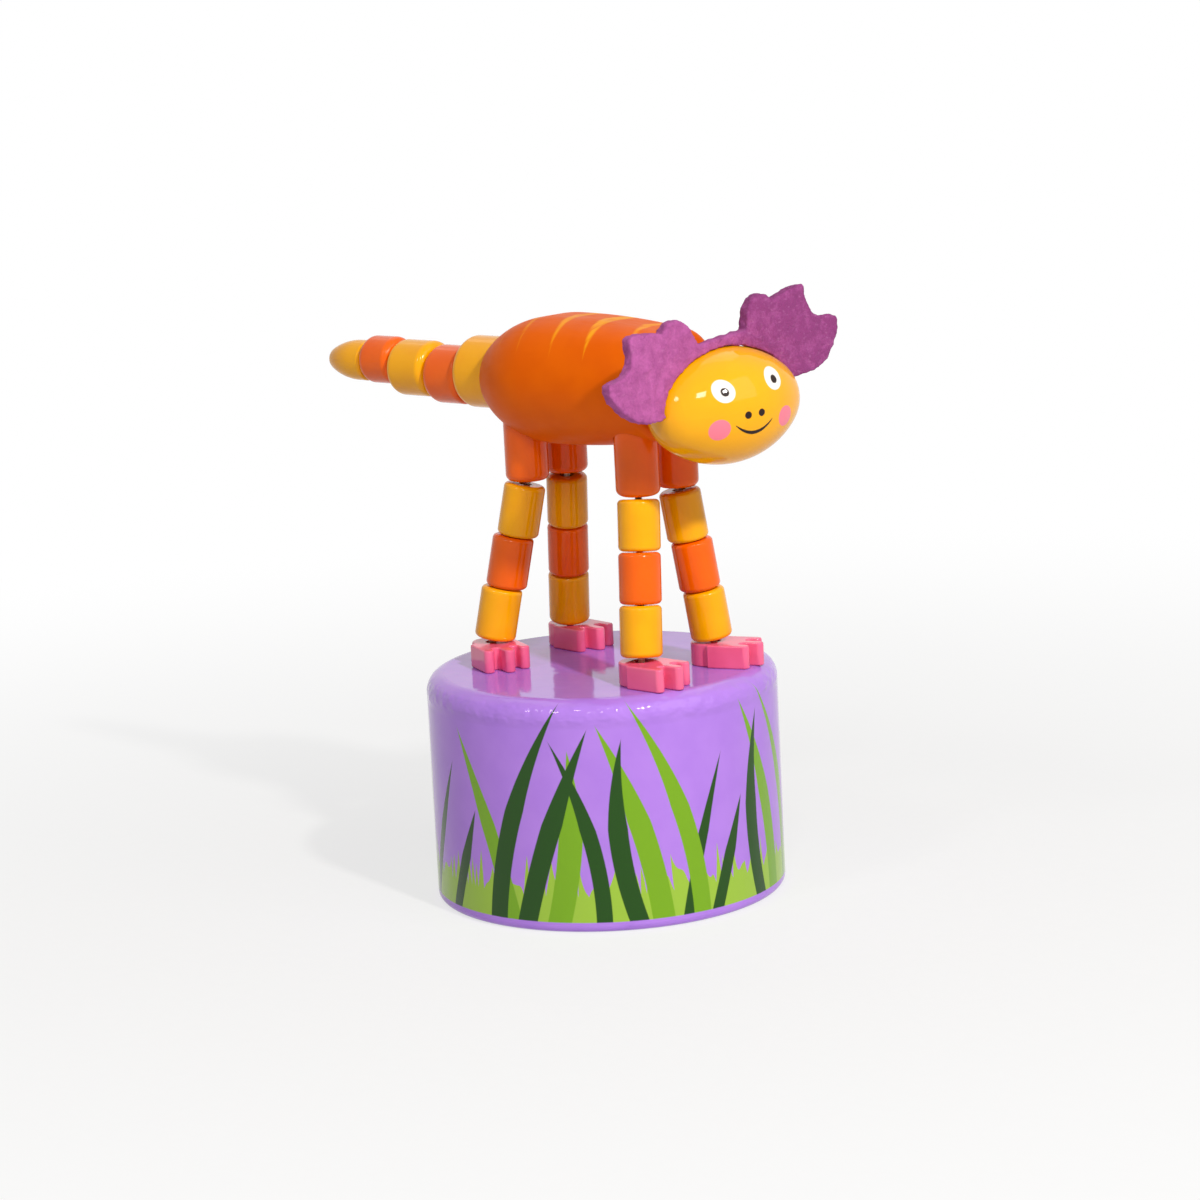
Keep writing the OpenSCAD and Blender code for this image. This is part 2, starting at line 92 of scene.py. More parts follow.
drum_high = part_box("base_drum")[1]
drum_r = drum_high.x
drum_h = drum_high.z
button_low_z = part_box("push_button")[0].z
foot_top_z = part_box("front_left_foot")[1].z
body_z = middle_of("body_barrel").z
body_front_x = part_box("body_barrel")[1].x
body_rear_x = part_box("body_barrel")[0].x
thigh_top_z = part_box("front_left_thigh")[1].z
head_centre = middle_of("head")
spring_low, spring_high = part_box("return_spring")

# Sizes repeated from the solids
hollow_r = 19 * MM
coil_r = 10 * MM
wire_r = 0.45 * MM
coil_turns = 6
ankle_shift = 0.9 * MM
ankle_span_x = 27.6 * MM
ankle_span_y = 15.6 * MM
rear_right_out = 0.6 * MM
head_turn = Euler((math.radians(3.8), 0, math.radians(-16)))
string_r = 0.5 * MM
pair_y = 0.55 * MM
neck_cord_r = 0.8 * MM
knot_r = 1.3 * MM
drum_ceiling_z = spring_high.z


def linear(red, green, blue):
    """A colour as a picture holds it, 0 to 255, in the light it stands for."""
    def channel(value):
        share = value / 255
        return share / 12.92 if share <= 0.04045 else ((share + 0.055) / 1.055) ** 2.4
    return (channel(red), channel(green), channel(blue), 1)


# Wires and graphs let a material's pattern be written as a formula.
class Wire:
    """A value that runs between a material's nodes, used like a number."""

    def __init__(self, graph, socket):
        self.graph = graph
        self.socket = socket

    def __add__(self, other):
        return self.graph.math("ADD", self, other)

    __radd__ = __add__

    def __sub__(self, other):
        return self.graph.math("SUBTRACT", self, other)

    def __rsub__(self, other):
        return self.graph.math("SUBTRACT", other, self)

    def __mul__(self, other):
        return self.graph.math("MULTIPLY", self, other)

    def __truediv__(self, other):
        return self.graph.math("DIVIDE", self, other)

    def __pow__(self, other):
        return self.graph.math("POWER", self, other)

    def __abs__(self):
        return self.graph.math("ABSOLUTE", self)

    def at_least(self, other):
        return self.graph.math("MAXIMUM", self, other)

    def at_most(self, other):
        return self.graph.math("MINIMUM", self, other)

    def rise(self, low, high):
        """0 below low, 1 above high and smooth between them."""
        inputs = {"Value": self, "From Min": low, "From Max": high}
        return self.graph.add("ShaderNodeMapRange", inputs, interpolation_type="SMOOTHSTEP")


class Graph:
    """The nodes of one material."""

    def __init__(self, name):
        self.material = bpy.data.materials.new(name)
        self.material.use_nodes = True
        self.tree = self.material.node_tree
        self.shader = self.tree.nodes["Principled BSDF"]
        self.place = self.add("ShaderNodeTexCoord", {}, "Object")
        self.x = self.add("ShaderNodeSeparateXYZ", {0: self.place}, "X")
        self.y = self.add("ShaderNodeSeparateXYZ", {0: self.place}, "Y")
        self.z = self.add("ShaderNodeSeparateXYZ", {0: self.place}, "Z")

    def feed(self, socket, value):
        if isinstance(value, Wire):
            self.tree.links.new(value.socket, socket)
        else:
            socket.default_value = value

    def add(self, kind, inputs, output=0, **settings):
        """Adds a node, feeds it and returns one of its outputs."""
        node = self.tree.nodes.new(kind)
        for name, value in settings.items():
            setattr(node, name, value)
        for key, value in inputs.items():
            self.feed(node.inputs[key], value)
        return Wire(self, node.outputs[output])

    def math(self, operation, *values):
        return self.add("ShaderNodeMath", dict(enumerate(values)), operation=operation)

    def stretched(self, along_x, along_y, along_z):
        """The place on the piece, drawn out along its axes."""
        inputs = {0: self.place, 1: (along_x, along_y, along_z)}
        return self.add("ShaderNodeVectorMath", inputs, operation="MULTIPLY")

    def noise(self, size, detail=3, place=None, roughness=0.5):
        """Soft noise whose spots are about size across."""
        inputs = {
            "Vector": place or self.place,
            "Scale": 1 / size,
            "Detail": detail,
            "Roughness": roughness,
        }
        return self.add("ShaderNodeTexNoise", inputs, "Fac")

    def mix(self, share, first, second):
        """A colour that goes from the first to the second as share goes from 0 to 1."""
        inputs = {0: share, 6: first, 7: second}
        return self.add("ShaderNodeMix", inputs, 2, data_type="RGBA")

    def bump(self, height, distance):
        """The surface's normal, with a relief as high as distance where the wire is 1."""
        inputs = {"Height": height, "Distance": distance, "Strength": 1}
        return self.add("ShaderNodeBump", inputs, "Normal")

    def finish(self, **sockets):
        for name, value in sockets.items():
            self.feed(self.shader.inputs[name.replace("_", " ").title()], value)
        return self.material


# Materials
lacquer_ior = 1.5


def lacquer(name, colour, deep, decoration=None, *, rough, gloss, ripple=0.03, runs=None):
    """Gloss paint on turned wood: a thin, uneven coat over the grain, with runs where it gathered."""
    graph = Graph(name)
    graph.shader.inputs["IOR"].default_value = lacquer_ior
    graph.shader.inputs["Specular IOR Level"].default_value = gloss
    pooling = graph.noise(5 * MM, 2)
    grain = graph.noise(0.6 * MM, 2, graph.stretched(0.2, 1, 1))
    specks = graph.noise(0.25 * MM, 1)
    coat = graph.mix(pooling.rise(0.3, 0.75) * 0.6 + grain * 0.12, colour, deep)
    if decoration:
        coat = decoration(graph, coat)
    height = pooling + grain * 0.12 + specks * 0.04
    if runs:
        height = height + runs(graph)
    return graph.finish(
        base_color=coat,
        roughness=(grain.rise(0.4, 0.8) * 0.25 + specks * 0.15 + 1) * rough,
        normal=graph.bump(height, ripple * MM),
    )


def bare_wood(graph, across):
    """Pale sanded wood, its rings running through the piece."""
    drawn = graph.add("ShaderNodeVectorMath", {0: graph.place, 1: across}, operation="MULTIPLY")
    rings = graph.noise(2.2 * MM, 4, drawn, 0.6)
    pores = graph.noise(0.3 * MM, 2, drawn)
    plain = graph.mix(rings.rise(0.3, 0.7), linear(222, 186, 138), linear(188, 142, 92))
    return graph.mix(pores.rise(0.62, 0.78) * 0.5, plain, linear(140, 98, 58)), rings, pores


def button_wood():
    graph = Graph("button_wood")
    colour, rings, pores = bare_wood(graph, (0.15, 1, 1))
    return graph.finish(
        base_color=colour,
        roughness=0.6 + rings * 0.15,
        normal=graph.bump(rings * 0.5 + pores, 0.05 * MM),
    )


# The print round the drum: each blade is its root's place round the drum in degrees, its height, how far
# its tip leans and how far its middle bows, both in degrees, its width, and its shade of green. A blade
# lies over those before it.
print_bottom = 1.5 * MM
print_soft = 0.08 * MM
dark, leaf = "dark", "leaf"
greens = {dark: linear(26, 74, 1), leaf: linear(120, 170, 18)}
band_green = linear(156, 194, 60)
blades = [
    (-81, 26.5, -22, 2, 2.8, leaf), (-65, 24.5, 5, 2.5, 3.6, leaf), (-31.5, 28, -19.5, 3, 3.4, leaf),
    (18, 29, -18, 4, 3.0, leaf), (31, 30.5, -22, 7, 2.5, leaf),
    (-138, 18, 10, -2, 2.4, dark), (-127, 21.5, 21, 0, 2.0, dark), (-108, 15, 13, 0, 2.3, dark),
    (-87, 31, 25, -4.5, 3.1, dark), (-76, 27.5, 23, -1.5, 3.2, dark), (-50.5, 26, -16, 4, 2.4, dark),
    (-39.5, 26, -3, -4, 2.9, dark), (-23, 22.5, 15, -1, 1.8, dark), (-18, 31, -23, 5, 2.9, leaf),
    (-12, 15.5, 12, 0, 2.2, dark), (9, 27, 1, -4.5, 2.7, dark),
]
blade_repeat = 180
taper_share = 0.5
taper_power = 0.85


def blade_share(graph, around, up, root, tall, lean, bow, width):
    """1 on a blade that keeps its width for half its height and then tapers to its tip, 0 off it."""
    along = (up - print_bottom) / (tall * MM)
    middle = along * lean + along * (1 - along) * 4 * bow + root
    turned = graph.math("WRAP", around - middle, blade_repeat / 2, -blade_repeat / 2)
    left_over = (1 - along).at_least(0) / taper_share
    half = (left_over.at_most(1) ** taper_power) * (width / 2 * MM)
    offset = abs(turned) * math.radians(1) * drum_r
    return (half - offset).rise(0, 2 * print_soft)


# The band's spikes: half their spacing in degrees, how far they stray from it, the height that they stand
# on, how tall they are and how many degrees they lean, at most, in a millimetre
spike_half = 1.6
spike_stray = 14
band_low = 5.2 * MM
band_rise = 5.6 * MM
spike_lean = 1.6

# Shares of the drum's radius between which the print sets in, so that the flat top stays plain
print_starts = 0.9
print_full = 0.95

# Bare wood inside the drum: how far beyond the hollow's wall and above its ceiling the change from paint
# starts, and over what distance it goes
wood_beyond_wall = 0.4 * MM
wall_change = 0.5 * MM
wood_above_ceiling = 0.2 * MM
ceiling_change = 0.1 * MM


def grass(graph, ground):
    """Blades of grass over a ragged pale band, printed round the drum's side."""
    around = graph.math("ARCTAN2", graph.y, graph.x) * math.degrees(1)
    up = graph.z
    level = graph.stretched(1, 1, 0)
    leaning = (graph.noise(6 * MM, 0, level) - 0.5) * 2 * spike_lean
    shifted = around + graph.noise(4 * MM, 0, level) * spike_stray + leaning * (up - band_low) / MM
    spikes = graph.math("PINGPONG", shifted, spike_half) / spike_half
    uneven = graph.noise(2.3 * MM, 1, level).rise(0.3, 0.7)
    band_top = band_low + spikes * (uneven * 0.75 + 0.25) * band_rise
    colour = graph.mix((band_top - up).rise(-print_soft, print_soft), ground, band_green)
    for root, tall, lean, bow, width, shade in blades:
        share = blade_share(graph, around, up, root, tall, lean, bow, width)
        colour = graph.mix(share, colour, greens[shade])
    radius = graph.math("SQRT", graph.x * graph.x + graph.y * graph.y)
    above_bottom = (up - print_bottom).rise(-print_soft, print_soft)
    on_side = radius.rise(drum_r * print_starts, drum_r * print_full)
    printed = graph.mix(above_bottom * on_side, ground, colour)
    wood = bare_wood(graph, (1, 1, 0.15))[0]
    in_hollow = (hollow_r + wood_beyond_wall - radius).rise(0, wall_change)
    under_ceiling = (drum_ceiling_z + wood_above_ceiling - up).rise(0, ceiling_change)
    return graph.mix(in_hollow * under_ceiling, printed, wood)


# The lumps of lacquer on the drum's upper edge: their size, their height against the coat's own waves, and
# where they start and stop, measured down from the top
lump_size = 1.7 * MM
lump_height = 4.4
lumps_start = 4 * MM
lumps_full = 2.5 * MM
lumps_fade = 1 * MM
lumps_stop = 0.2 * MM


def rim_runs(graph):
    """The lumps in which the lacquer gathered along the drum's upper edge."""
    lumps = graph.noise(lump_size, 1, graph.stretched(1, 1, 1.4))
    above_start = (graph.z - (drum_h - lumps_start)).rise(0, lumps_start - lumps_full)
    below_stop = (drum_h - lumps_stop - graph.z).rise(0, lumps_fade - lumps_stop)
    return lumps * above_start * below_stop * lump_height


# The stripes over the back: each is its place along the body, the turn from the ridge at which it ends,
# in degrees, its half width at the ridge, and how strongly it is painted.
stripes = [
    (-9.6, 74, 0.8, 0.4), (-5.2, 72, 1.0, 0.6), (0.8, 70, 1.2, 0.85), (6.8, 70, 1.5, 1),
    (13.2, 56, 1.0, 0.8),
]
stripe_slant = 2.6 * MM
stripe_taper = 0.9
stripe_ragged = 0.45 * MM
stripe_edge = 0.6 * MM
stripe_yellow = linear(250, 168, 22)


def brush_stripes(graph, ground):
    """Tapered brush strokes that lie across the back, alike on both sides."""
    down = graph.math("ARCTAN2", abs(graph.y), graph.z - body_z) * math.degrees(1)
    bristles = graph.noise(0.45 * MM, 2, graph.stretched(1, 0.15, 0.15))
    ragged = (bristles - 0.5) * stripe_ragged
    colour = ground
    for place, end, half, strength in stripes:
        along = down / end
        wide = (1 - along).at_least(0) ** stripe_taper * (half * MM)
        middle = place * MM + (along - 0.5) * stripe_slant
        share = (wide - abs(graph.x - middle) + ragged).rise(0, stripe_edge)
        worn = bristles.rise(0.15, 0.55) * strength
        colour = graph.mix(share * worn * (1 - along).rise(0, 0.1), colour, stripe_yellow)
    return colour


# The painted face, in the head's own left and up, in millimetres
eyes = [(4.05, 3.55), (-4.1, 3.2)]
eye_r = 1.5
pupil_drop = (0.1, -0.12)
pupil_r = 0.56
nostril_place = (1.07, -0.4)
nostril_r = 0.52
muzzle_shift = -0.3
cheek_place = (5.35, -1.83)
cheek_r = 1.42
smile_half = 3
smile_end_up = -1.5
smile_dip = 1.45
smile_line = 0.25
print_edge = 0.07


def face(graph, ground):
    """Eyes, nostrils, cheeks and a smile, printed on the front of the head."""
    turn = head_turn.to_matrix()
    from_middle = graph.add("ShaderNodeVectorMath", {0: graph.place, 1: head_centre}, operation="SUBTRACT")

    def measured(axis):
        inputs = {0: from_middle, 1: turn @ Vector(axis)}
        return graph.add("ShaderNodeVectorMath", inputs, "Value", operation="DOT_PRODUCT") / MM

    ahead = measured((1, 0, 0))
    left = measured((0, 1, 0))
    up = measured((0, 0, 1))
    front = ahead.rise(0, 0.5)

    def spot(colour, place, radius, paint):
        across = left - place[0]
        above = up - place[1]
        distance = graph.math("SQRT", across * across + above * above)
        return graph.mix((radius - distance).rise(-print_edge, print_edge) * front, colour, paint)

    black = linear(34, 12, 6)
    white = linear(250, 246, 240)
    colour = ground
    for eye in eyes:
        colour = spot(colour, eye, eye_r, white)
        colour = spot(colour, (eye[0] + pupil_drop[0], eye[1] + pupil_drop[1]), pupil_r, black)
    for side in (1, -1):
        colour = spot(colour, (side * cheek_place[0], cheek_place[1]), cheek_r, linear(250, 128, 150))
        colour = spot(colour, (side * nostril_place[0] + muzzle_shift, nostril_place[1]), nostril_r, black)
    share = (left - muzzle_shift) / smile_half
    line_up = share * share * smile_dip + (smile_end_up - smile_dip)
    thick = ((1 - share * share).at_least(0) ** 0.5) * smile_line
    near_line = (thick + print_edge - abs(up - line_up)).rise(0, 2 * print_edge)
    on_line = near_line * (1 - abs(share)).rise(0, 0.03)
    return graph.mix(on_line * front, colour, black)


def felt():
    """Pressed wool: matted fibres, lighter flecks, painted shade darkening one end of the piece, and a
    soft sheen.
    """
    graph = Graph("felt")
    graph.shader.inputs["Sheen Weight"].default_value = 0.25
    graph.shader.inputs["Sheen Roughness"].default_value = 0.5
    graph.shader.inputs["Sheen Tint"].default_value = linear(214, 150, 200)
    graph.shader.inputs["Specular IOR Level"].default_value = 0.08
    fibres = graph.noise(0.35 * MM, 5, None, 0.7)
    clumps = graph.noise(1.6 * MM, 3, None, 0.6)
    flecks = graph.noise(0.5 * MM, 2, graph.stretched(1, 0.6, 1))
    # Painted shade: the colour darkens towards the frill's left lobe, standing in for that lobe facing
    # away from the light. The matted mix below carries this painted shade into the wool's colour.
    painted_shade_end = graph.y.rise(-4 * MM, 8 * MM) * 0.6
    matted = clumps.rise(0.3, 0.7) * 0.45 + fibres.rise(0.35, 0.65) * 0.25 + painted_shade_end
    wool = graph.mix(matted, linear(198, 104, 174), linear(146, 66, 126))
    wool = graph.mix(flecks.rise(0.58, 0.78) * 0.2, wool, linear(224, 150, 204))
    return graph.finish(
        base_color=wool,
        roughness=0.9 + fibres * 0.1,
        normal=graph.bump(fibres * 0.6 + clumps, 0.4 * MM),
    )


def string_fibre():
    graph = Graph("string_fibre")
    strands = graph.noise(0.25 * MM, 4, graph.stretched(1, 1, 0.3))
    colour = graph.mix(strands.rise(0.3, 0.7), linear(240, 234, 218), linear(204, 194, 168))
    return graph.finish(
        base_color=colour,
        roughness=0.75 + strands * 0.2,
        normal=graph.bump(strands, 0.06 * MM),
    )


def spring_steel():
    graph = Graph("spring_steel")
    graph.shader.inputs["Metallic"].default_value = 1
    drawn = graph.noise(0.4 * MM, 4)
    colour = graph.mix(drawn.rise(0.3, 0.7), linear(196, 198, 202), linear(150, 152, 158))
    return graph.finish(
        base_color=colour,
        roughness=0.25 + drawn * 0.2,
        normal=graph.bump(drawn, 0.01 * MM),
    )


def dress(node, material):
    nodes[node].data.materials.clear()
    nodes[node].data.materials.append(material)


# Pieces made here
def new_piece(name, form, material):
    """A smooth-shaded mesh piece at the frame's origin, made from a form that is then let go."""
    mesh = bpy.data.meshes.new(name)
    bmesh.ops.recalc_face_normals(form, faces=form.faces)
    form.to_mesh(mesh)
    form.free()
    mesh.materials.append(material)
    for polygon in mesh.polygons:
        polygon.use_smooth = True
    piece = bpy.data.objects.new(name, mesh)
    bpy.context.scene.collection.objects.link(piece)
    return piece


def apply_modifiers(piece):
    """Fixes a piece's modifiers into its mesh."""
    graph = bpy.context.evaluated_depsgraph_get()
    mesh = bpy.data.meshes.new_from_object(piece.evaluated_get(graph))
    piece.modifiers.clear()
    piece.data = mesh


weld_distance = 0.002 * MM


def welded_copy(node):
    """A copy of a node's mesh with the seams between its faces closed."""
    form = bmesh.new()
    form.from_mesh(nodes[node].data)
    bmesh.ops.remove_doubles(form, verts=form.verts, dist=weld_distance)
    return form


def smooth_route(points, step):
    """Points along a straight-sided route, no more than a step apart."""
    route = [Vector(points[0])]
    for start, end in zip(points, points[1:]):
        start, end = Vector(start), Vector(end)
        count = max(1, math.ceil((end - start).length / step))
        route += [start.lerp(end, i / count) for i in range(1, count + 1)]
    return route


# Depth of the grooves between a string's strands, as a share of its radius
strand_depth = 0.16


def add_tube(form, route, radius, sides, lobes=0, lay=1):
    """A closed tube along a route. With lobes, it has that many strands, which turn once in each lay."""
    normal = None
    rings = []
    travelled = 0
    for i, point in enumerate(route):
        ahead = route[min(i + 1, len(route) - 1)] - route[max(i - 1, 0)]
        ahead.normalize()
        start = normal or (Vector((0, 1, 0)) if abs(ahead.y) < 0.7 else Vector((1, 0, 0)))
        normal = (start - start.dot(ahead) * ahead).normalized()
        other = ahead.cross(normal)
        travelled += (point - route[i - 1]).length if i else 0
        twist = 2 * math.pi * travelled / lay if lobes else 0
        ring = []
        for k in range(sides):
            angle = 2 * math.pi * k / sides
            groove = strand_depth * (1 - abs(math.cos(lobes / 2 * (angle - twist)))) if lobes else 0
            outward = math.cos(angle) * normal + math.sin(angle) * other
            ring.append(form.verts.new(point + radius * (1 - groove) * outward))
        rings.append(ring)
    for low, high in zip(rings, rings[1:]):
        for k in range(sides):
            form.faces.new((low[k], low[(k + 1) % sides], high[(k + 1) % sides], high[k]))
    form.faces.new(rings[0])
    form.faces.new(rings[-1])


# A knot's lumps: their depth as a share of its radius, how many go round it and how steeply they wind
knot_lump = 0.1
knot_lumps_round = 2
knot_wind = 4


def add_knot(form, centre, radius):
    """A lumpy round knot."""
    made = bmesh.ops.create_icosphere(form, subdivisions=3, radius=radius)
    for vertex in made["verts"]:
        around = math.atan2(vertex.co.y, vertex.co.x)
        turn = around * knot_lumps_round + vertex.co.z / radius * knot_wind
        vertex.co *= 1 - knot_lump + knot_lump * math.cos(turn)
        vertex.co += Vector(centre)


string_step = 0.4 * MM
string_sides = 12
string_lobes = 3
string_lay = 2.4 * MM

# At the hip, the bead's and the body's lengths of string run past each other, so that they still meet when
# the leg folds.
hip_gap = 0.55 * MM
hip_overlap = 0.6 * MM

# How far above the ceiling the drum's length of string ends, and half the length of a bend at a joint
into_ceiling = 2.5 * MM
half_bend = 0.9 * MM

# The turn from the thigh into the hole along the body: how far along it ends and how far it bows out
turn_along = 4 * MM
turn_bow = 0.8 * MM


def string_piece(name, routes, material, radius=string_r):
    form = bmesh.new()
    for route in routes:
        add_tube(form, smooth_route(route, string_step), radius, string_sides, string_lobes, string_lay)
    piece = new_piece(name, form, material)
    return piece


def leg_sides(leg):
    ahead = 1 if leg.startswith("front") else -1
    leftward = 1 if leg.endswith("left") else -1
    return ahead, leftward


def ankle_of(leg):
    ahead, leftward = leg_sides(leg)
    place = Vector((ankle_shift + ahead * ankle_span_x / 2, leftward * ankle_span_y / 2, 0))
    if leg == "rear_right":
        place += place.normalized() * rear_right_out
    return place + Vector((0, 0, foot_top_z))


def hip_of(leg):
    place = middle_of(leg + "_thigh")
    place.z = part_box(leg + "_thigh")[0].z
    return place


def leg_strings(leg, material):
    """One leg's string, in lengths from the knot under the button up into the body."""
    ahead, leftward = leg_sides(leg)
    ankle, hip = ankle_of(leg), hip_of(leg)
    line = (hip - ankle).normalized()
    reach = (hip - ankle).length
    knot = Vector((ankle.x, ankle.y, button_low_z + knot_r))
    ceiling = Vector((ankle.x, ankle.y, drum_ceiling_z))
    in_drum = ceiling + Vector((0, 0, into_ceiling))

    low = string_piece(leg + "_string_in_drum", [[knot, in_drum]], material)
    tie = bmesh.new()
    tie.from_mesh(low.data)
    add_knot(tie, knot, knot_r)
    tie.to_mesh(low.data)
    tie.free()
    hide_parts(leg + "_string")
    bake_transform(low)

    ends = [in_drum] + [ankle + line * reach * sixths / 6 for sixths in (1, 3, 5)]
    joints = [ankle] + [ankle + line * reach * sixths / 6 for sixths in (2, 4)]
    names = ["_string_at_ankle", "_string_at_low_knee", "_string_at_high_knee"]
    for i, name in enumerate(names):
        piece = string_piece(leg + name, [[ends[i], joints[i], ends[i + 1]]], material)
        below = joints[i] - line * half_bend
        above = joints[i] + line * half_bend
        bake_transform(piece)

    top = string_piece(leg + "_string_in_bead", [[ends[3], hip + line * hip_overlap]], material)
    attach(top, leg + "_upper")
    into_bead = hip - line * (hip_gap + hip_overlap)
    thigh_top = Vector((hip.x, hip.y, thigh_top_z))
    turned = Vector((hip.x + ahead * turn_along, leftward * pair_y, body_z))
    end = Vector((body_front_x if ahead > 0 else body_rear_x, leftward * pair_y, body_z))
    bend = thigh_top.lerp(turned, 0.5) + Vector((-ahead, 0, 1)) * turn_bow
    route = [into_bead, hip, thigh_top, bend, turned, end]
    inner = string_piece(leg + "_string_in_body", [route], material)
    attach(inner, "torso")


def tail_strings(material):
    """The two rear strings, which run on through the tail to its tip."""
    pieces = ["tail_bead_1", "tail_bead_2", "tail_bead_3", "tail_bead_4", "tail_tip"]
    fronts = [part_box(piece)[1].x for piece in pieces]
    middles = [body_rear_x] + [middle_of(piece).x for piece in pieces]
    heights = [body_z] + [middle_of(piece).z for piece in pieces]
    for i, front in enumerate(fronts):
        routes = []
        for side in (1, -1):
            routes.append([Vector((middles[k], side * pair_y, heights[k])) for k in (i, i + 1)])
        made = string_piece(f"tail_strings_{i + 1}", routes, material)
        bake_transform(made)


# How far the neck's string reaches back into the body
neck_string_back = 2 * MM


def neck_string(material):
    """The two front strings, twisted into one between the body and the head."""
    low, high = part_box("neck_cord")
    route = [Vector((low.x - neck_string_back, 0, body_z)), Vector((high.x, 0, body_z))]
    piece = string_piece("neck_string", [route], material, neck_cord_r)
    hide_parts("neck_cord")
    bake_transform(piece)


steps_per_turn = 40
wire_sides = 12


def spring_piece(material):
    """The return spring, a coil of round wire."""
    low = spring_low.z + wire_r
    high = spring_high.z - wire_r
    steps = steps_per_turn * coil_turns
    route = []
    for i in range(steps + 1):
        angle = 2 * math.pi * coil_turns * i / steps
        height = low + (high - low) * i / steps
        route.append(Vector((coil_r * math.cos(angle), coil_r * math.sin(angle), height)))
    form = bmesh.new()
    add_tube(form, route, wire_r, wire_sides)
    piece = new_piece("coil_spring", form, material)
    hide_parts("return_spring")
    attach(piece, "drum")
    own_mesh(piece)


felt_voxel = 0.25 * MM
felt_lump = 0.14 * MM
felt_fray = 0.3 * MM
coarse_lump = 1.2 * MM
fine_lump = 0.55 * MM
coarse_share = 0.6


def felt_piece(material):
    """The frill: the cut felt with its edges softened and its faces matted."""
    piece = new_piece("felt_frill", welded_copy("frill"), material)
    remesh = piece.modifiers.new("voxels", "REMESH")
    remesh.mode = "VOXEL"
    remesh.voxel_size = felt_voxel
    soften = piece.modifiers.new("soften", "SMOOTH")
    soften.factor = 0.5
    soften.iterations = 2
    apply_modifiers(piece)
    mesh = piece.data
    normals = [vertex.normal.copy() for vertex in mesh.vertices]
    flat_way = head_turn.to_matrix() @ Vector((1, 0, 0))
    for vertex, normal in zip(mesh.vertices, normals):
        coarse = noise.noise(vertex.co / coarse_lump)
        fine = noise.noise(vertex.co / fine_lump)
        cut_edge = 1 - abs(normal.dot(flat_way))
        lump = felt_lump + (felt_fray - felt_lump) * cut_edge
        vertex.co += normal * lump * (coarse_share * coarse + (1 - coarse_share) * fine)
    for polygon in mesh.polygons:
        polygon.use_smooth = True
    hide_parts("frill")
    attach(piece, "head")


foot_edge = 0.28 * MM
flat_within = math.radians(3)
edge_from = math.radians(50)


def foot_piece(leg, material):
    """A foot with the soft edges that its paint gives it."""
    form = welded_copy(leg + "_foot")
    bmesh.ops.dissolve_limit(form, angle_limit=flat_within, verts=form.verts, edges=form.edges)
    piece = new_piece(leg + "_painted_foot", form, material)
    bevel = piece.modifiers.new("edges", "BEVEL")
    bevel.width = foot_edge
    bevel.segments = 3
    bevel.limit_method = "ANGLE"
    bevel.angle_limit = edge_from
    even = piece.modifiers.new("even", "WEIGHTED_NORMAL")
    even.mode = "FACE_AREA"
    apply_modifiers(piece)
    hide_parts(leg + "_foot")
    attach(piece, "drum")


def place_camera():
    azimuth, elevation = camera_azimuth, camera_elevation
    away = Vector((
        math.sin(azimuth) * math.cos(elevation),
        -math.cos(azimuth) * math.cos(elevation),
        math.sin(elevation),
    ))
    right = Vector((math.cos(azimuth), math.sin(azimuth), 0))
    eye = camera_target + camera_distance * away
    aim = camera_target + aim_right * right + aim_up * away.cross(right)
    back = (eye - aim).normalized()
    level = Vector((0, 0, 1)).cross(back).normalized()
    above = back.cross(level)
    across = math.cos(camera_roll) * level + math.sin(camera_roll) * above
    upward = math.cos(camera_roll) * above - math.sin(camera_roll) * level
    data = bpy.data.cameras.new("camera")
    data.sensor_width = sensor_width
    data.lens = focal_pixels / photo_width * sensor_width
    data.clip_start = 0.01
    data.clip_end = 20
    camera = bpy.data.objects.new("camera", data)
    turn = Matrix((across, upward, back)).transposed()
    camera.matrix_world = Matrix.Translation(eye) @ turn.to_4x4()
    bpy.context.scene.collection.objects.link(camera)
    bpy.context.scene.camera = camera


# Each lamp: its bearing from the camera's and its height, in degrees, its width in metres and its power in
# watts
lamps = {
    "key": (31, 37.5, 0.05, 5),
    "side": (50, 35, 0.6, 1.6),
    "lamp": (-2, 41, 0.16, 1.8),
    "fill": (-46, 40, 0.14, 1.0),
    "back": (180, 55, 0.6, 0.8),
}
lamp_distance = 0.9
lamp_warmth = (1, 0.97, 0.93)
ambient_strength = 0.09


def add_lamp(name, bearing, elevation, size, power):
    """A square soft lamp that faces the object's middle."""
    turn, lift = camera_azimuth + math.radians(bearing), math.radians(elevation)
    away = Vector((math.sin(turn) * math.cos(lift), -math.cos(turn) * math.cos(lift), math.sin(lift)))
    data = bpy.data.lights.new(name, "AREA")
    data.size = size
    data.energy = power
    data.color = lamp_warmth
    light = bpy.data.objects.new(name, data)
    light.location = camera_target + lamp_distance * away
    light.rotation_euler = away.to_track_quat("Z", "Y").to_euler()
    bpy.context.scene.collection.objects.link(light)


# The floor glows white for the rays that see the white behind the object: by a share that grows from its
# near value, close to the object, to 1 further out.
WHITE_RAYS = ["Is Camera Ray", "Is Glossy Ray", "Is Transmission Ray"]
floor_half = 3
floor_clear = 0.02 * MM
glow_near = 0.7
glow_starts = 0.02
glow_full = 0.3


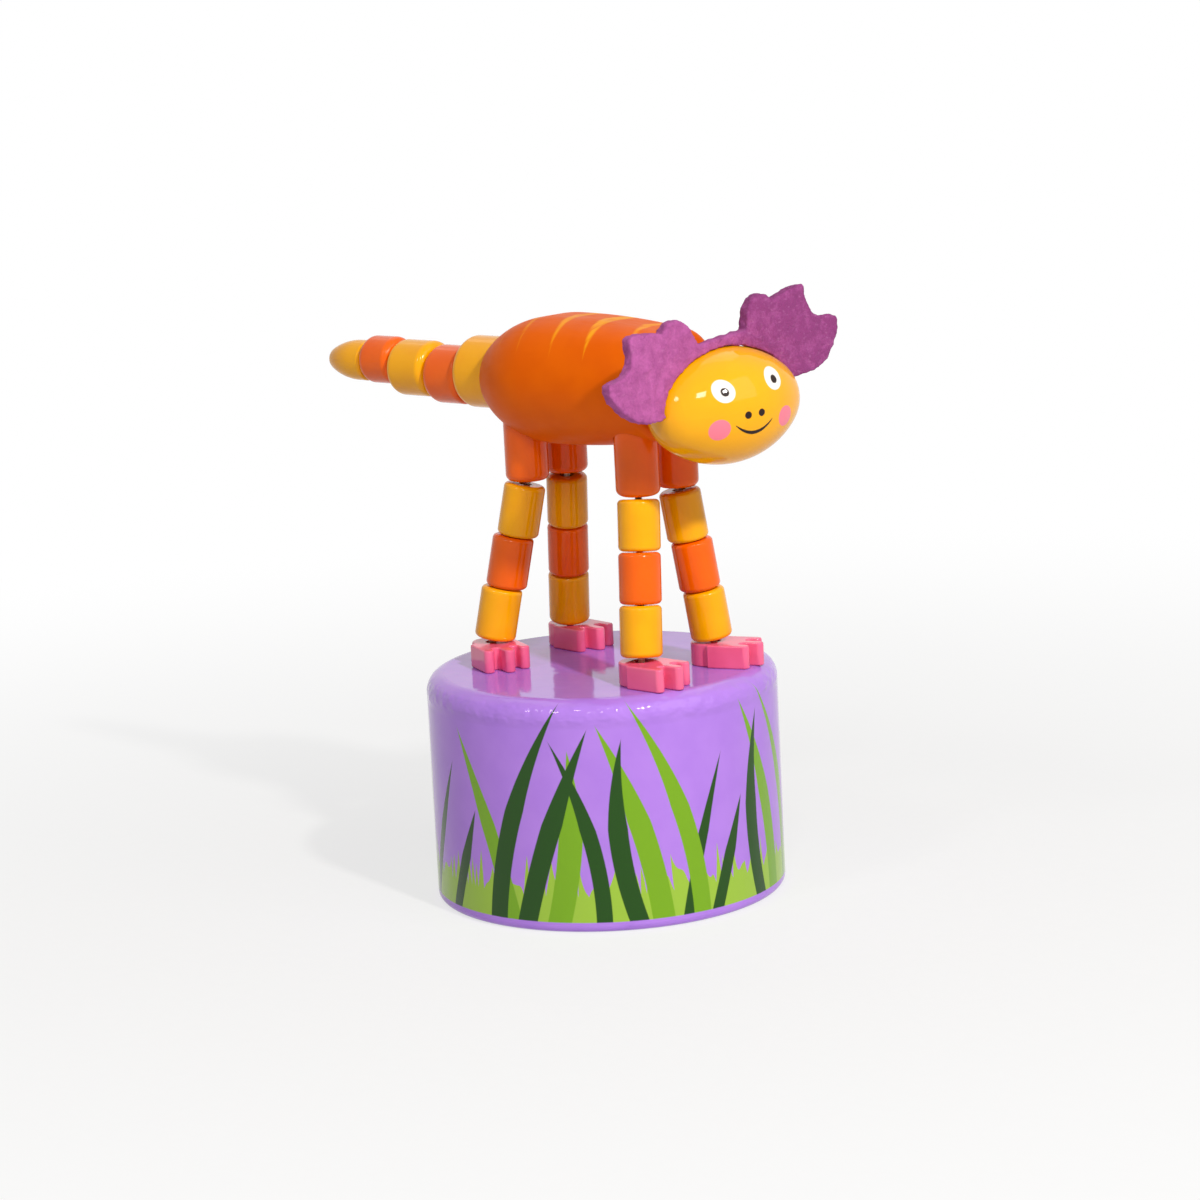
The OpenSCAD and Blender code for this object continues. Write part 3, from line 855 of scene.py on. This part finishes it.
def lay_floor():
    """A pale floor that goes over into the white behind it."""
    form = bmesh.new()
    bmesh.ops.create_grid(form, x_segments=8, y_segments=8, size=floor_half)
    for vertex in form.verts:
        vertex.co.z = cad_box[0][2] - floor_clear
    graph = Graph("floor")
    fine = graph.noise(2 * MM, 2)
    from_middle = graph.math("SQRT", graph.x * graph.x + graph.y * graph.y)
    glow_share = from_middle.rise(glow_starts, glow_full) * (1 - glow_near) + glow_near
    paper = graph.mix(fine, linear(230, 230, 230), linear(224, 224, 224))
    graph.finish(base_color=paper, roughness=0.9 + fine * 0.05)
    graph.shader.inputs["Specular IOR Level"].default_value = 0
    glow = graph.tree.nodes.new("ShaderNodeEmission")
    blend = graph.tree.nodes.new("ShaderNodeMixShader")
    rays = graph.tree.nodes.new("ShaderNodeLightPath")
    seen = sum((Wire(graph, rays.outputs[kind]) for kind in WHITE_RAYS), 0)
    graph.feed(blend.inputs[0], glow_share * seen.at_most(1))
    graph.tree.links.new(graph.shader.outputs[0], blend.inputs[1])
    graph.tree.links.new(glow.outputs[0], blend.inputs[2])
    graph.tree.links.new(blend.outputs[0], graph.tree.nodes["Material Output"].inputs["Surface"])
    new_piece("floor", form, graph.material)


def light_world():
    """White behind the object, and a soft even light from all round."""
    world = bpy.data.worlds.new("studio")
    bpy.context.scene.world = world
    world.use_nodes = True
    tree = world.node_tree
    ambient = tree.nodes["Background"]
    ambient.inputs["Color"].default_value = (1, 1, 1, 1)
    ambient.inputs["Strength"].default_value = ambient_strength
    white = tree.nodes.new("ShaderNodeBackground")
    white.inputs["Color"].default_value = (1, 1, 1, 1)
    white.inputs["Strength"].default_value = 1
    rays = tree.nodes.new("ShaderNodeLightPath")
    either = None
    for kind in WHITE_RAYS:
        largest = tree.nodes.new("ShaderNodeMath")
        largest.operation = "MAXIMUM"
        tree.links.new(rays.outputs[kind], largest.inputs[0])
        largest.inputs[1].default_value = 0
        if either:
            tree.links.new(either.outputs[0], largest.inputs[1])
        either = largest
    blend = tree.nodes.new("ShaderNodeMixShader")
    tree.links.new(either.outputs[0], blend.inputs[0])
    tree.links.new(ambient.outputs[0], blend.inputs[1])
    tree.links.new(white.outputs[0], blend.inputs[2])
    tree.links.new(blend.outputs[0], tree.nodes["World Output"].inputs["Surface"])


# The scene
bpy.context.scene.view_settings.view_transform = "Standard"
place_camera()
light_world()
lay_floor()
for name, settings in lamps.items():
    add_lamp(name, *settings)

string_material = string_fibre()
for leg in LEGS:
    leg_strings(leg, string_material)
tail_strings(string_material)
neck_string(string_material)
spring_piece(spring_steel())
felt_piece(felt())

yellow = lacquer("yellow_lacquer", linear(253, 177, 1), linear(246, 163, 1), rough=0.1, gloss=0.22)
orange = lacquer("orange_lacquer", linear(248, 104, 1), linear(238, 92, 1), rough=0.1, gloss=0.22)
pink = lacquer("pink_lacquer", linear(246, 108, 150), linear(234, 88, 130), rough=0.1, gloss=0.4)
purple = lacquer(
    "drum_lacquer", linear(180, 130, 232), linear(170, 120, 226), grass,
    rough=0.06, gloss=0.32, ripple=0.06, runs=rim_runs,
)
striped = lacquer(
    "body_lacquer", linear(234, 102, 1), linear(224, 92, 1), brush_stripes,
    rough=0.4, gloss=0.08,
)
faced = lacquer(
    "head_lacquer", linear(253, 179, 1), linear(250, 171, 1), face,
    rough=0.05, gloss=0.3, ripple=0.015,
)

dress("base_drum", purple)
dress("push_button", button_wood())
dress("body_barrel", striped)
dress("head", faced)
for leg in LEGS:
    foot_piece(leg, pink)
    dress(leg + "_thigh", orange)
    dress(leg + "_lower_bead", yellow)
    dress(leg + "_middle_bead", orange)
    dress(leg + "_upper_bead", yellow)
for number, material in enumerate((yellow, orange, yellow, orange), 1):
    dress(f"tail_bead_{number}", material)
dress("tail_tip", yellow)
